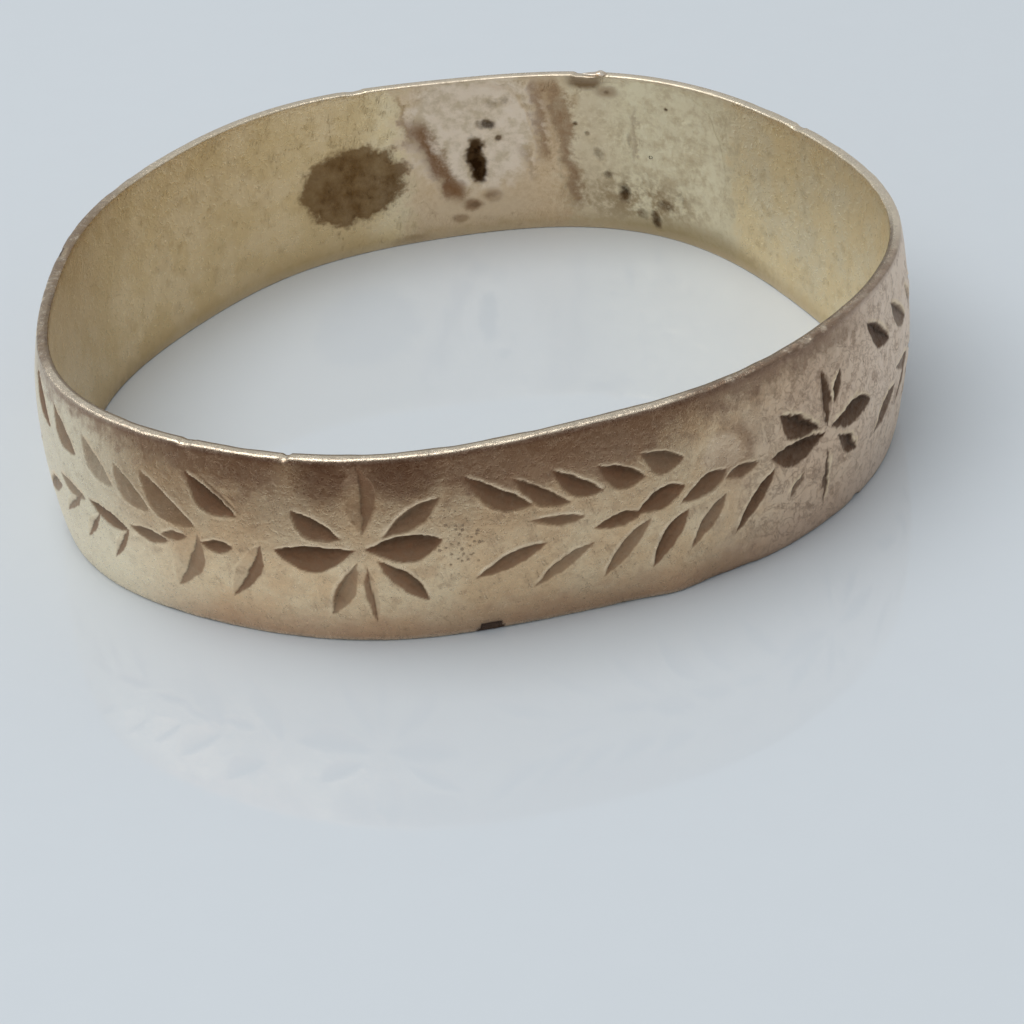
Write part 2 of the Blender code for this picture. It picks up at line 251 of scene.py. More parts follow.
def number(name, description, default, **more):
    return FloatProperty(name=name, description=description, default=default, **more)


def colour_setting(name, description, default):
    return FloatVectorProperty(
        name=name, description=description, subtype="COLOR", default=default, min=0.0, max=1.0)


class HoopSettings(bpy.types.PropertyGroup):
    radius: number("Radius", "Mean outer radius at the rims, in mm", BAND_RADIUS, min=1.0)
    height: number("Width", "Height of the band, in mm", BAND_HEIGHT, min=1.0)
    wall: number("Rim wall", "Wall at the rims, in mm", 0.26, min=0.1)
    crown: number("Crown", "How far the outer face's middle stands out, in mm", 0.26)
    edge: number("Edge round", "Radius of the worn edges, in mm", 0.05)
    stations: IntProperty(
        name="Stations", description="Cross-sections round the band", default=1340, min=60)
    rows: IntProperty(name="Rows", description="Rows of faces over the engraved zone", default=100, min=12)
    graver_tilt: number("Graver tilt", "Slope of a cut's broad side", math.radians(14.0), subtype="ANGLE")


class FinishSettings(bpy.types.PropertyGroup):
    rose: colour_setting("Rose gold", "Gold of the outer face", (0.8, 0.575, 0.35))
    yellow: colour_setting("Yellow gold", "Gold of the inner face", (0.92, 0.75, 0.46))
    # The patina colour is real patina in the cuts, also darkened there as painted shade.
    patina_and_shade: colour_setting("Patina and shade", "Brown dirt in the cuts", (0.19, 0.09, 0.044))
    # The tarnish colour is partly real tarnish and partly painted shade below the top rim.
    tarnish_and_shade: colour_setting("Tarnish and shade", "Darkened gold below the top rim", (0.42, 0.26, 0.165))
    stain: colour_setting("Stain", "Burnt stain on the inner face", (0.17, 0.088, 0.03))
    copper: colour_setting("Copper", "Coppery solder lines", (0.27, 0.14, 0.065))
    pink: colour_setting("Pink solder", "Pale pinkish solder flood", (0.97, 0.84, 0.7))
    grey: colour_setting("Granular solder", "Granular grey-green solder flood", (0.92, 0.84, 0.62))


class StageSettings(bpy.types.PropertyGroup):
    elevation: number("Elevation", "Camera angle above the table", math.radians(31.45), subtype="ANGLE")
    roll: number("Roll", "How far the camera is turned clockwise", math.radians(4.5), subtype="ANGLE")
    distance: number("Distance", "From the camera to its aim", 0.0813, unit="LENGTH")
    lens: number("Lens", "Focal length", 120.15, unit="CAMERA")
    aim_right: number("Aim right", "Aim to the right of the ring's middle", 0.00065, unit="LENGTH")
    aim_up: number("Aim up", "Aim above the rim's middle, square to the view", -0.00227, unit="LENGTH")
    table: colour_setting("Table", "Colour of the glossy table", (0.66, 0.7, 0.73))


# ---------------------------------------------------------------- shape maths


def waves(rows, angle):
    """Sums the rows of a bent shape over an array of angles."""
    angle = np.asarray(angle, float)
    return sum(size * np.cos(np.radians(count * (angle - high))) for count, size, high in rows)


def smooth(low, high, value):
    """0 below low, 1 above high, and an S-curve between."""
    t = np.clip((value - low) / (high - low), 0.0, 1.0)
    return t * t * (3 - 2 * t)


def ripple(x, y, seed):
    """Smooth noise from -1 to 1 over the plane, with features about one unit across."""
    table = np.random.default_rng(seed).uniform(-1.0, 1.0, (64, 64))
    column, row = np.floor(x).astype(int), np.floor(y).astype(int)
    u, v = smooth(0.0, 1.0, x - column), smooth(0.0, 1.0, y - row)
    corner = [[table[(column + i) % 64, (row + j) % 64] for j in (0, 1)] for i in (0, 1)]
    near = corner[0][0] * (1 - u) + corner[1][0] * u
    far = corner[0][1] * (1 - u) + corner[1][1] * u
    return near * (1 - v) + far * v


class Hoop:
    """The bent strip that every piece follows, in millimetres."""

    def __init__(self, settings):
        self.s = settings
        angles, shares = np.meshgrid(np.linspace(0.0, 360.0, 721), np.linspace(0.0, 1.0, 21))
        outline = self.raw(angles, self.rim(angles, shares) + self.bulge(shares), 0 * angles)
        low, high = outline.min(axis=(0, 1)), outline.max(axis=(0, 1))
        middle = (cad_box[0] + cad_box[1]) / 2 / MM
        self.shift = np.array([middle.x, middle.y, 0.0]) - (low + high) * [0.5, 0.5, 0.0]

    def rim(self, angle, share):
        """The outer radius without the crown."""
        lean = waves(LEAN, angle) * (2 * share - 1)
        return self.s.radius + waves(OUT_OF_ROUND, angle) + lean

    def bulge(self, share):
        """How far the crowned outer face stands out."""
        return self.s.crown * (1 - (2 * share - 1) ** 2)

    def top(self, angle):
        return self.s.height + waves(RIM_RISE, angle)

    @staticmethod
    def raw(angle, radius, height):
        turn = np.radians(angle)
        return np.stack([radius * np.sin(turn), -radius * np.cos(turn), height + 0 * turn], axis=-1)

    def place(self, angle, radius, height):
        return self.raw(angle, radius, height) + self.shift

    def degrees(self, length):
        """The angle that a length along the band spans."""
        return np.degrees(length / self.s.radius)


def strokes(hoop):
    """Every graver stroke: start angle and mm up, end angle and mm up, width, left share, keel, darkness."""
    height = hoop.s.height
    found = []
    for k in range(STAR_COUNT):
        centre = STAR_FIRST + k * STAR_STEP
        for direction, near, far, *cut in STAR_FULL if k % 2 == 0 else STAR_WORN:
            turn = math.radians(direction)
            ends = []
            for out in (near, far):
                ends += [
                    centre + hoop.degrees(out * math.cos(turn)),
                    STAR_HEIGHT * height + out * math.sin(turn)]
            found.append((*ends, *cut))
    for k in range(-1, STAR_COUNT):
        base = STAR_FIRST + k * STAR_STEP
        for a, low, b, high, *cut in SPRAY_OPEN if k % 2 == 0 else SPRAY_CLOSE:
            found.append((base + a * STAR_STEP, low * height, base + b * STAR_STEP, high * height, *cut))
    margin = hoop.degrees(JOINT_WIDTH) + 1.5
    first, last = JOINT_LEFT - 360 + margin, JOINT_RIGHT - margin
    return [cut for cut in found if first < min(cut[0], cut[2]) and max(cut[0], cut[2]) < last]


def engrave(hoop, angle, up):
    """For arrays of angles and mm up: the depth of the cuts, how far inside a cut's broad side each point
    lies, how near its keel, how far on the painted highlight along its steep side, and how far on its burr."""
    depth, inside, keels, lip_highlights, burr = (np.zeros_like(angle) for _ in range(5))
    slope = math.tan(hoop.s.graver_tilt)
    ragged = 0.02 * ripple(angle * 0.9, up * 5.0, 11) + 0.014 * ripple(angle * 2.1, up * 12.0, 12)
    # The worn star to the right of the front one has the most ragged cuts.
    ragged = ragged * (1 + 1.6 * smooth(11.0, 3.0, np.abs(angle - STAR_FIRST - 3 * STAR_STEP)))
    for order, (a0, z0, a1, z1, width, left, keel, dirt_and_shade) in enumerate(strokes(hoop)):
        margin = hoop.degrees(width)
        window = np.nonzero(
            (angle > min(a0, a1) - margin) & (angle < max(a0, a1) + margin)
            & (up > min(z0, z1) - width) & (up < max(z0, z1) + width))
        x = (angle[window] - a0) / hoop.degrees(1.0)
        y = up[window] - z0
        run = np.array([(a1 - a0) / hoop.degrees(1.0), z1 - z0])
        length = np.hypot(*run)
        run /= length
        across = -x * run[1] + y * run[0]
        t = np.clip((x * run[0] + y * run[1]) / length, 0.0, 1.0)
        full = np.sin(math.pi * t ** 1.18) ** 0.92 * width
        wobble = ragged[window] * np.clip(full / 0.1, 0.0, 1.0)
        left_edge = full * left + wobble
        right_edge = -full * (1 - left) + wobble
        line = right_edge + keel * (left_edge - right_edge)
        from_left = (left_edge - across) / np.maximum(left_edge - line, 1e-6)
        from_right = (across - right_edge) / np.maximum(line - right_edge, 1e-6)
        near = np.clip(np.minimum(from_left, from_right), 0.0, 1.0)
        cut = slope * np.maximum(keel, 1 - keel) * full * near
        two_sided = 0.3 < keel < 0.7
        # Painted light: in a two-sided cut, the half left of the keel is painted lighter than the other half.
        if two_sided:
            dirt_and_shade = dirt_and_shade * (1 - 0.75 * smooth(-0.01, 0.03, across - line))
        border = np.minimum(left_edge - across, across - right_edge)
        # The lip runs along the steep side, just outside the cut, and carries a painted highlight.
        steep = across - left_edge if keel > 0.5 else right_edge - across
        lip = smooth(-0.035, 0.0, steep) * smooth(0.12, 0.05, steep) * smooth(0.03, 0.14, full)
        lip = lip * (not two_sided)
        bright = (0.75 + 0.25 * math.sin(order * 2.4)) * (0.7 + 22 * np.abs(ragged[window]))
        raised = np.exp(-((-border - 0.035) / 0.035) ** 2) * (full > 0.1) * (cut <= 0)
        for values, new in (
            (depth, cut),
            (inside, smooth(-0.012, 0.025, border) * (full > 0.02) * dirt_and_shade),
            (keels, near ** (2 if abs(keel - 0.5) > 0.2 else 6) * (full > 0.06)),
            (lip_highlights, lip * bright),
            (burr, raised),
        ):
            values[window] = np.maximum(values[window], new)
    lip_highlights = lip_highlights * (1 - 0.85 * keels * inside)
    burr = burr * (1 - inside)
    return depth, np.maximum(inside, 0.9 * keels ** 2), keels, lip_highlights, burr


def section_rows(hoop, inner_rows):
    """The cross-section as rows of (side, share of the height, inset). Side 0 is outside and 1 inside."""
    edge = hoop.s.edge
    share = edge / hoop.s.height

    def corner(side, turns, at_top):
        """The rows of a worn edge, at degrees of a quarter circle."""
        for turn in np.radians(turns):
            part = share * (1 - math.sin(turn))
            yield side, 1 - part if at_top else part, edge * (1 - math.cos(turn))

    low, high = ENGRAVED_ZONE
    outer = np.concatenate([
        np.linspace(share, low, 7), np.linspace(low, high, hoop.s.rows)[1:],
        np.linspace(high, 1 - share, 5)[1:]])
    inner = np.linspace(1 - share, share, inner_rows + 1)
    to_crest, from_crest = (30, 60, 90), (90, 60, 30)
    return np.array([
        *((0, part, 0.0) for part in outer), *corner(0, to_crest, True), *corner(1, from_crest, True),
        *((1, part, 0.0) for part in inner), *corner(1, to_crest, False), *corner(0, from_crest, False)])


def mesh_object(name, points, faces, fields, material, bake=None, flat_ends=0):
    """An object from arrays of points in mm and of faces, with a named value on each point.

    bake holds a place on the bake map for each face corner. The last flat_ends faces aren't shaded smooth."""
    mesh = bpy.data.meshes.new(name)
    mesh.vertices.add(len(points))
    mesh.vertices.foreach_set("co", (points * MM).astype(np.float32).ravel())
    sizes = np.array([len(face) for face in faces])
    loops = np.concatenate(faces)
    mesh.loops.add(len(loops))
    mesh.loops.foreach_set("vertex_index", loops.astype(np.int32))
    mesh.polygons.add(len(sizes))
    starts = np.concatenate([[0], np.cumsum(sizes)[:-1]])
    mesh.polygons.foreach_set("loop_start", starts.astype(np.int32))
    mesh.update(calc_edges=True)
    for field, values in fields.items():
        attribute = mesh.attributes.new(field, "FLOAT", "POINT")
        attribute.data.foreach_set("value", values.astype(np.float32).ravel())
    if bake is not None:
        mesh.uv_layers.new(name="OFBake").data.foreach_set("uv", bake.astype(np.float32).ravel())
    curved = np.ones(len(sizes), bool)
    curved[len(sizes) - flat_ends:] = False
    mesh.polygons.foreach_set("use_smooth", curved)
    edge_of = np.empty(len(loops), np.int32)
    mesh.loops.foreach_get("edge_index", edge_of)
    sharp = np.zeros(len(mesh.edges), bool)
    sharp[edge_of[starts[len(sizes) - flat_ends]:] if flat_ends else []] = True
    mesh.edges.foreach_set("use_edge_sharp", sharp)
    mesh.materials.append(material)
    obj = bpy.data.objects.new(name, mesh)
    bpy.context.scene.collection.objects.link(obj)
    return obj


def bake_lanes(section, count, lanes):
    """Places on the bake map for a strip's faces: it lies cut into lanes, one above the other, with its two
    ends above them. The section holds the steps round it, count is the number of its stations."""
    across = len(section)
    height = np.append(0.0, np.cumsum(np.linalg.norm(section, axis=1)))
    height /= height[-1]
    lane = np.minimum(np.arange(count - 1) * lanes // (count - 1), lanes - 1)
    first = np.searchsorted(lane, np.arange(lanes))
    length = np.bincount(lane, minlength=lanes).max()
    left = ((np.arange(count - 1) - first[lane]) / length * 0.98 + 0.01)[:, None] + np.zeros(across)
    right = left + 0.98 / length
    low, high = ((lane[:, None] + 0.04 + 0.92 * part) / lanes * 0.94 for part in (height[:-1], height[1:]))
    bake = np.stack([np.stack([left, right, right, left], -1), np.stack([low, low, high, high], -1)], -1)
    ends = np.stack([np.tile(height[:-1], 2) * 0.98 + 0.01, np.repeat([0.96, 0.98], across)], -1)
    return np.concatenate([bake.reshape(-1, 2), ends])


def strip(name, hoop, stations, inner_rows, material, engraved=False, lanes=1):
    """A stretch of the bent strip with flat ends, as one closed mesh. Stations are its angles."""
    rows = section_rows(hoop, inner_rows)
    angle = np.asarray(stations)[:, None] + np.zeros(len(rows))
    side, share, inset = (np.broadcast_to(rows[:, i], angle.shape) for i in range(3))
    up = share * hoop.top(angle)
    outside = side == 0
    depth = inside = keels = lip_highlights = burr = np.zeros_like(angle)
    if engraved:
        face = outside & (inset == 0)
        depth, inside, keels, lip_highlights, burr = (values * face for values in engrave(hoop, angle, up))
    degree = hoop.degrees(1.0)  # of one millimetre
    around = angle / degree
    from_front = np.mod(angle + 180.0, 360.0) - 180.0
    wrapped = from_front / degree
    back = np.mod(angle, 360.0) / degree
    blend = smooth(120.0, 140.0, np.abs(from_front))  # 1 at the back, whose relief has no seam there
    sag = ripple(wrapped * 0.9, up * 0.8, 3) * (1 - blend)
    sag = 0.02 * (sag + ripple(back * 0.9, up * 0.8, 3) * blend) * (1 - 0.88 * blend)
    for dent_angle, dent_share, wide, deep in DENTS:
        x, y = (angle - dent_angle) / hoop.degrees(wide), (share - dent_share) * hoop.s.height / wide
        sag = sag - deep * np.exp(-x * x - y * y)

    def relief(wide, tall, seed, shift=0.0):
        return ripple(around * wide + shift, up * tall, seed)

    chatter = 0.005 * relief(2.6, 2.2, 4) - 0.0018 * np.abs(relief(9, 9, 6)) - 0.001 * relief(21, 21, 7)
    sag = sag + chatter * (1 - blend)
    # The right side is beaten and scored.
    beaten = smooth(24.0, 40.0, angle) * smooth(100.0, 82.0, angle)
    knocks = relief(1.9, 1.5, 21, 3) + 0.6 * relief(4.4, 3.2, 22)
    scores = smooth(0.35, 0.9, np.abs(ripple(around * 5.5, up * 1.6 + around, 23)))
    sag = sag + beaten * (0.016 * knocks - 0.012 * scores)
    sag = sag * smooth(0.0, 0.15, np.minimum(share, 1 - share))
    rim = hoop.rim(angle, share)
    outer_radius = rim + hoop.bulge(share) - inset - depth + 0.01 * burr + sag
    radius = np.where(outside, outer_radius, rim - hoop.s.wall + inset - 0.6 * sag)
    dark = np.zeros_like(angle)
    for nick_angle, nick_share, half, deep in NICKS:
        gap = (angle - nick_angle + 180) % 360 - 180 + hoop.degrees(0.25 * half) * relief(9, 9, 8)
        near = smooth(0.14, 0.0, np.abs(share - nick_share) * hoop.s.height)
        bite = deep * np.clip(1 - (gap / hoop.degrees(half)) ** 2, 0.0, 1.0) * near
        up = up + (1 - 2 * nick_share) * bite
        radius = radius - 0.7 * bite * outside
    for chip_angle, chip_share, half, tall, deep in CHIPS:
        gap = (angle - chip_angle) / hoop.degrees(half) + 0.3 * relief(7, 7, 8)
        from_edge = np.abs(share - chip_share) * hoop.s.height / tall
        bite = smooth(1.0, 0.75, np.hypot(gap, from_edge) + 0.15 * relief(15, 15, 9)) * outside
        radius = radius - deep * bite * smooth(0.0, 0.45, from_edge)
        dark = np.maximum(dark, smooth(0.1, 0.6, bite))
    from_rim = np.minimum(share, 1 - share) * hoop.s.height
    worn = smooth(0.1, 0.0, from_rim) * (1 - blend)
    up = up + 0.012 * worn * (ripple(wrapped * 2.2, side, 14) - 0.6) * np.where(share > 0.5, 1.0, -1.0)
    radius = radius - 0.01 * worn * np.abs(ripple(wrapped * 4.5, side + 3, 15)) * outside
    # The foot stands out below the dent and draws in beside it.
    flare = np.exp(-((angle - 26.0) / 3.5) ** 2) - 0.6 * np.exp(-((angle - 35.0) / 4.0) ** 2)
    radius = radius + 0.1 * flare * smooth(0.3, 0.0, share)
    points = hoop.place(angle, radius, up)
    index = np.arange(angle.size).reshape(angle.shape)
    here, there = index[:-1], index[1:]
    quads = np.stack([here, there, np.roll(there, -1, axis=1), np.roll(here, -1, axis=1)], axis=-1)
    faces = [*quads.reshape(-1, 4), index[0], index[-1][::-1]]
    fields = {
        "around": around, "up": up, "side": side * 1.0, "cut": inside, "keel": keels, "lip": lip_highlights,
        "back": back, "share": share, "dark": dark, "rim": smooth(0.075, 0.015, from_rim),
    }
    bake = bake_lanes(np.diff(points[0], axis=0, append=points[0][:1]), len(angle), lanes)
    return mesh_object(name, points.reshape(-1, 3), faces, fields, material, bake, 2)


def sheet_faces(spokes, rings):
    """The faces of a closed sheet. Each of its two sides is a middle point and rings of points round it."""
    count = 1 + spokes * rings
    index = np.arange(1, count).reshape(rings, spokes)
    ahead = np.roll(index, -1, axis=1)
    quads = np.stack([index[:-1], ahead[:-1], ahead[1:], index[1:]], axis=-1).reshape(-1, 4)
    fan = np.stack([np.zeros(spokes, int), index[0], ahead[0]], axis=-1)
    edge = np.stack([index[-1], ahead[-1], ahead[-1] + count, index[-1] + count], axis=-1)
    return [*quads, *(quads + count)[:, ::-1], *fan, *(fan + count)[:, ::-1], *edge]


def flood(name, hoop, centre, size, seed, pits, material, step, grain):
    """A run of solder on the inner face: a ragged, lumpy sheet with burnt pits, closed all round.

    It thins out to nothing, except on its right, where it ends in a step. Grain is the size of its grains."""
    spokes, rings = 220, 66
    turn = np.linspace(0.0, 2 * math.pi, spokes, endpoint=False)
    outline = (np.abs(np.cos(turn)) ** 3.4 + np.abs(np.sin(turn)) ** 3.4) ** (-1 / 3.4)
    rim_x, rim_y = np.cos(turn) * 3.0 + seed, np.sin(turn) * 3.0
    bays = 0.05 * ripple(rim_x, rim_y, seed) + 0.035 * ripple(rim_x * 3, rim_y * 3, seed + 1)
    outline = outline * (0.93 + bays + 0.015 * ripple(rim_x * 9, rim_y * 9, seed + 1))
    ring = (np.arange(1, rings + 1) / rings)[:, None]
    # The angle grows towards the left of the inner face as it is seen.
    middle = centre[0] / hoop.degrees(1.0), centre[1] * hoop.s.height
    x = np.append(middle[0], middle[0] - ring * outline * np.cos(turn) * size[0] / 2)
    up = np.append(middle[1], middle[1] + ring * outline * np.sin(turn) * size[1] / 2)
    out = np.append(0.0, np.repeat(ring, spokes))
    towards = np.append(0.0, np.tile(turn, rings))
    angle = x * hoop.degrees(1.0)
    top = hoop.top(angle)
    up = np.clip(up, hoop.s.edge, top - hoop.s.edge)

    def relief(scale, more, shift=0.0):
        return ripple(x * scale + shift, up * scale, seed + more)

    stepped = step * smooth(0.35, 0.85, np.cos(towards - 0.5))
    fade = smooth(1.0, 0.55, out) * (1 - stepped) + smooth(1.0, 0.93, out) * stepped
    lumps = relief(1.6, 2) + 0.6 * relief(4.2, 3)
    grains = relief(1 / grain, 4) + 0.5 * relief(2.3 / grain, 6)
    rough = smooth(-0.2, 0.8, relief(0.9, 7, 5) + 0.8 * (0.55 - up / top))
    thick = 0.05 + 0.014 * lumps + 0.012 * grains * (0.3 + rough)
    thick = THIN_EDGE + np.maximum(thick - THIN_EDGE, 0.0) * fade
    pit = np.zeros_like(x)
    bend = 0.3 * relief(4.0, 5) + 0.16 * relief(11, 8)
    for pit_angle, share, half_x, half_y, burnt in pits:
        across, along = (angle - pit_angle) / hoop.degrees(half_x), (up - share * top) / half_y
        far = np.hypot(across, along) / 1.25 + bend
        pit = np.maximum(pit, smooth(1.5, 0.35, far) * burnt)
        thick = thick + 0.006 * np.exp(-((far - 1.35) / 0.25) ** 2) * fade
    thick = thick * (1 - pit) + 0.004 * pit
    face = hoop.rim(angle, up / top) - hoop.s.wall - FLOOD_GAP
    points = np.concatenate([hoop.place(angle, face - thick, up), hoop.place(angle, face, up)])
    fields = {"around": x, "up": up, "pit": pit, "back": x, "body": fade, "share": up / top}
    faces = sheet_faces(spokes, rings)
    corner = np.concatenate(faces)
    flat_x, flat_y = (np.tile((v - v.min()) / (v.max() - v.min()), 2)[corner] for v in (x, up))
    hidden = corner >= len(x)
    bake = np.stack([0.01 + 0.98 * flat_x, np.where(hidden, 0.01 + 0.06 * flat_y, 0.09 + 0.9 * flat_y)], -1)
    fields = {field: np.tile(values, 2) for field, values in fields.items()}
    return mesh_object(name, points, faces, fields, material, bake, spokes)


def bead(name, hoop, material):
    """The bright bead on the top rim: a squashed dome that thins to a tail along the rim."""
    spokes, rings = 48, 16
    turn = np.linspace(0.0, 2 * math.pi, spokes, endpoint=False)
    out = np.sin(np.linspace(0.0, math.pi / 2, rings + 1))[1:, None]
    x, y = np.append(0.0, out * np.cos(turn)), np.append(0.0, out * np.sin(turn))
    swell = np.sqrt(np.clip(1 - x * x - y * y, 0.0, 1.0))
    angle = BEAD_ANGLE + hoop.degrees(x * BEAD_LENGTH / 2 * (0.8 + 0.2 * x))
    radius = hoop.rim(angle, 1.0) - hoop.s.wall / 2 - BEAD_INWARD + y * BEAD_WIDTH / 2 * (0.85 - 0.35 * x)
    low = hoop.top(angle) + CLEARANCE / 2
    drop = np.exp(-((x + 0.25) / 0.42) ** 2)
    lumps = 1 + 0.15 * ripple(x * 3, y * 3, 5)
    high = low + swell ** 0.8 * (0.012 + (BEAD_HEIGHT - 0.022) * drop * lumps)
    points = np.concatenate([hoop.place(angle, radius, high), hoop.place(angle, radius, low)])
    return mesh_object(name, points, sheet_faces(spokes, rings), {}, material)


# ---------------------------------------------------------------- shader writing


class Wire:
    """A node socket that takes part in arithmetic: each operation adds a Math node."""

    def __init__(self, paint, socket):
        self.paint = paint
        self.socket = socket

    def math(self, operation, *values):
        return self.paint.node("ShaderNodeMath", {"operation": operation}, dict(enumerate(values)))

    def __add__(self, other):
        return self.math("ADD", self, other)

    def __radd__(self, other):
        return self.math("ADD", other, self)

    def __sub__(self, other):
        return self.math("SUBTRACT", self, other)

    def __rsub__(self, other):
        return self.math("SUBTRACT", other, self)

    def __mul__(self, other):
        return self.math("MULTIPLY", self, other)

    def __rmul__(self, other):
        return self.math("MULTIPLY", other, self)

    def __truediv__(self, other):
        return self.math("DIVIDE", self, other)

    def __pow__(self, other):
        return self.math("POWER", self, other)

    def clamped(self):
        return self.math("MINIMUM", self.math("MAXIMUM", self, 0.0), 1.0)


def out_of_oval(x, y):
    """How far out of an oval a place lies: 1 on its edge."""
    return (x * x + y * y) ** 0.5


class Paint:
    """A material's nodes."""

    def __init__(self, name, **constants):
        self.material = bpy.data.materials.new(name)
        self.material.use_nodes = True
        self.tree = self.material.node_tree
        self.shader = self.tree.nodes["Principled BSDF"]
        for socket, value in constants.items():
            self.shader.inputs[socket.replace("_", " ")].default_value = value

    def node(self, kind, settings=None, values=None, output=0):
        node = self.tree.nodes.new(kind)
        for key, value in (settings or {}).items():
            setattr(node, key, value)
        for key, value in (values or {}).items():
            self.join(node.inputs[key], value)
        return Wire(self, node.outputs[output])

    def join(self, socket, value):
        if isinstance(value, Wire):
            self.tree.links.new(value.socket, socket)
        elif hasattr(value, "__len__") and socket.type == "RGBA":
            socket.default_value = (*tuple(value)[:3], 1.0)
        else:
            socket.default_value = value

    def feed(self, name, value):
        self.join(self.shader.inputs[name], value)

    def field(self, name):
        return self.node("ShaderNodeAttribute", {"attribute_name": name}, output=2)

    def blend(self, factor, first, second):
        return self.node("ShaderNodeMix", {"data_type": "RGBA"}, {0: factor, 6: first, 7: second}, output=2)

    def layers(self, tone, rows):
        """The tone with layers laid over it, each a mask and a colour."""
        for mask, colour in rows:
            tone = self.blend(mask, tone, colour)
        return tone

    def ramp(self, value, low, high):
        settings = {"interpolation_type": "SMOOTHSTEP"}
        return self.node("ShaderNodeMapRange", settings, {"Value": value, "From Min": low, "From Max": high})

    def between(self, value, low, low_full, high_full, high):
        """0 below low and above high, 1 from low_full to high_full."""
        return self.ramp(value, low, low_full) * self.ramp(value, high, high_full)

    def near_zero(self, value, wide, full=0.0):
        """1 where the value is within full of zero, and 0 beyond wide."""
        return self.ramp(value.math("ABSOLUTE", value), wide, full)

    def noise(self, vector, scale, detail=3.0, rough=0.55, warp=0.0):
        values = {"Vector": vector, "Scale": scale, "Detail": detail, "Roughness": rough, "Distortion": warp}
        return self.node("ShaderNodeTexNoise", {"noise_dimensions": "3D"}, values)

    def cells(self, scale):
        """How far the nearest of many scattered points is."""
        return self.node("ShaderNodeTexVoronoi", None, {"Vector": self.millimetres(), "Scale": scale})

    def place(self):
        return self.node("ShaderNodeTexCoord", output=3)

    def millimetres(self):
        """The place on the object, in mm."""
        return self.tint(self.place(), 1000.0)

    def tint(self, colour, factor):
        """The colour darkened or lightened all over by a factor, which may be a wire."""
        return self.node("ShaderNodeVectorMath", {"operation": "SCALE"}, {0: colour, "Scale": factor})

    def bump(self, height, strength, distance):
        values = {"Strength": strength, "Distance": distance, "Height": height}
        return self.node("ShaderNodeBump", None, values)


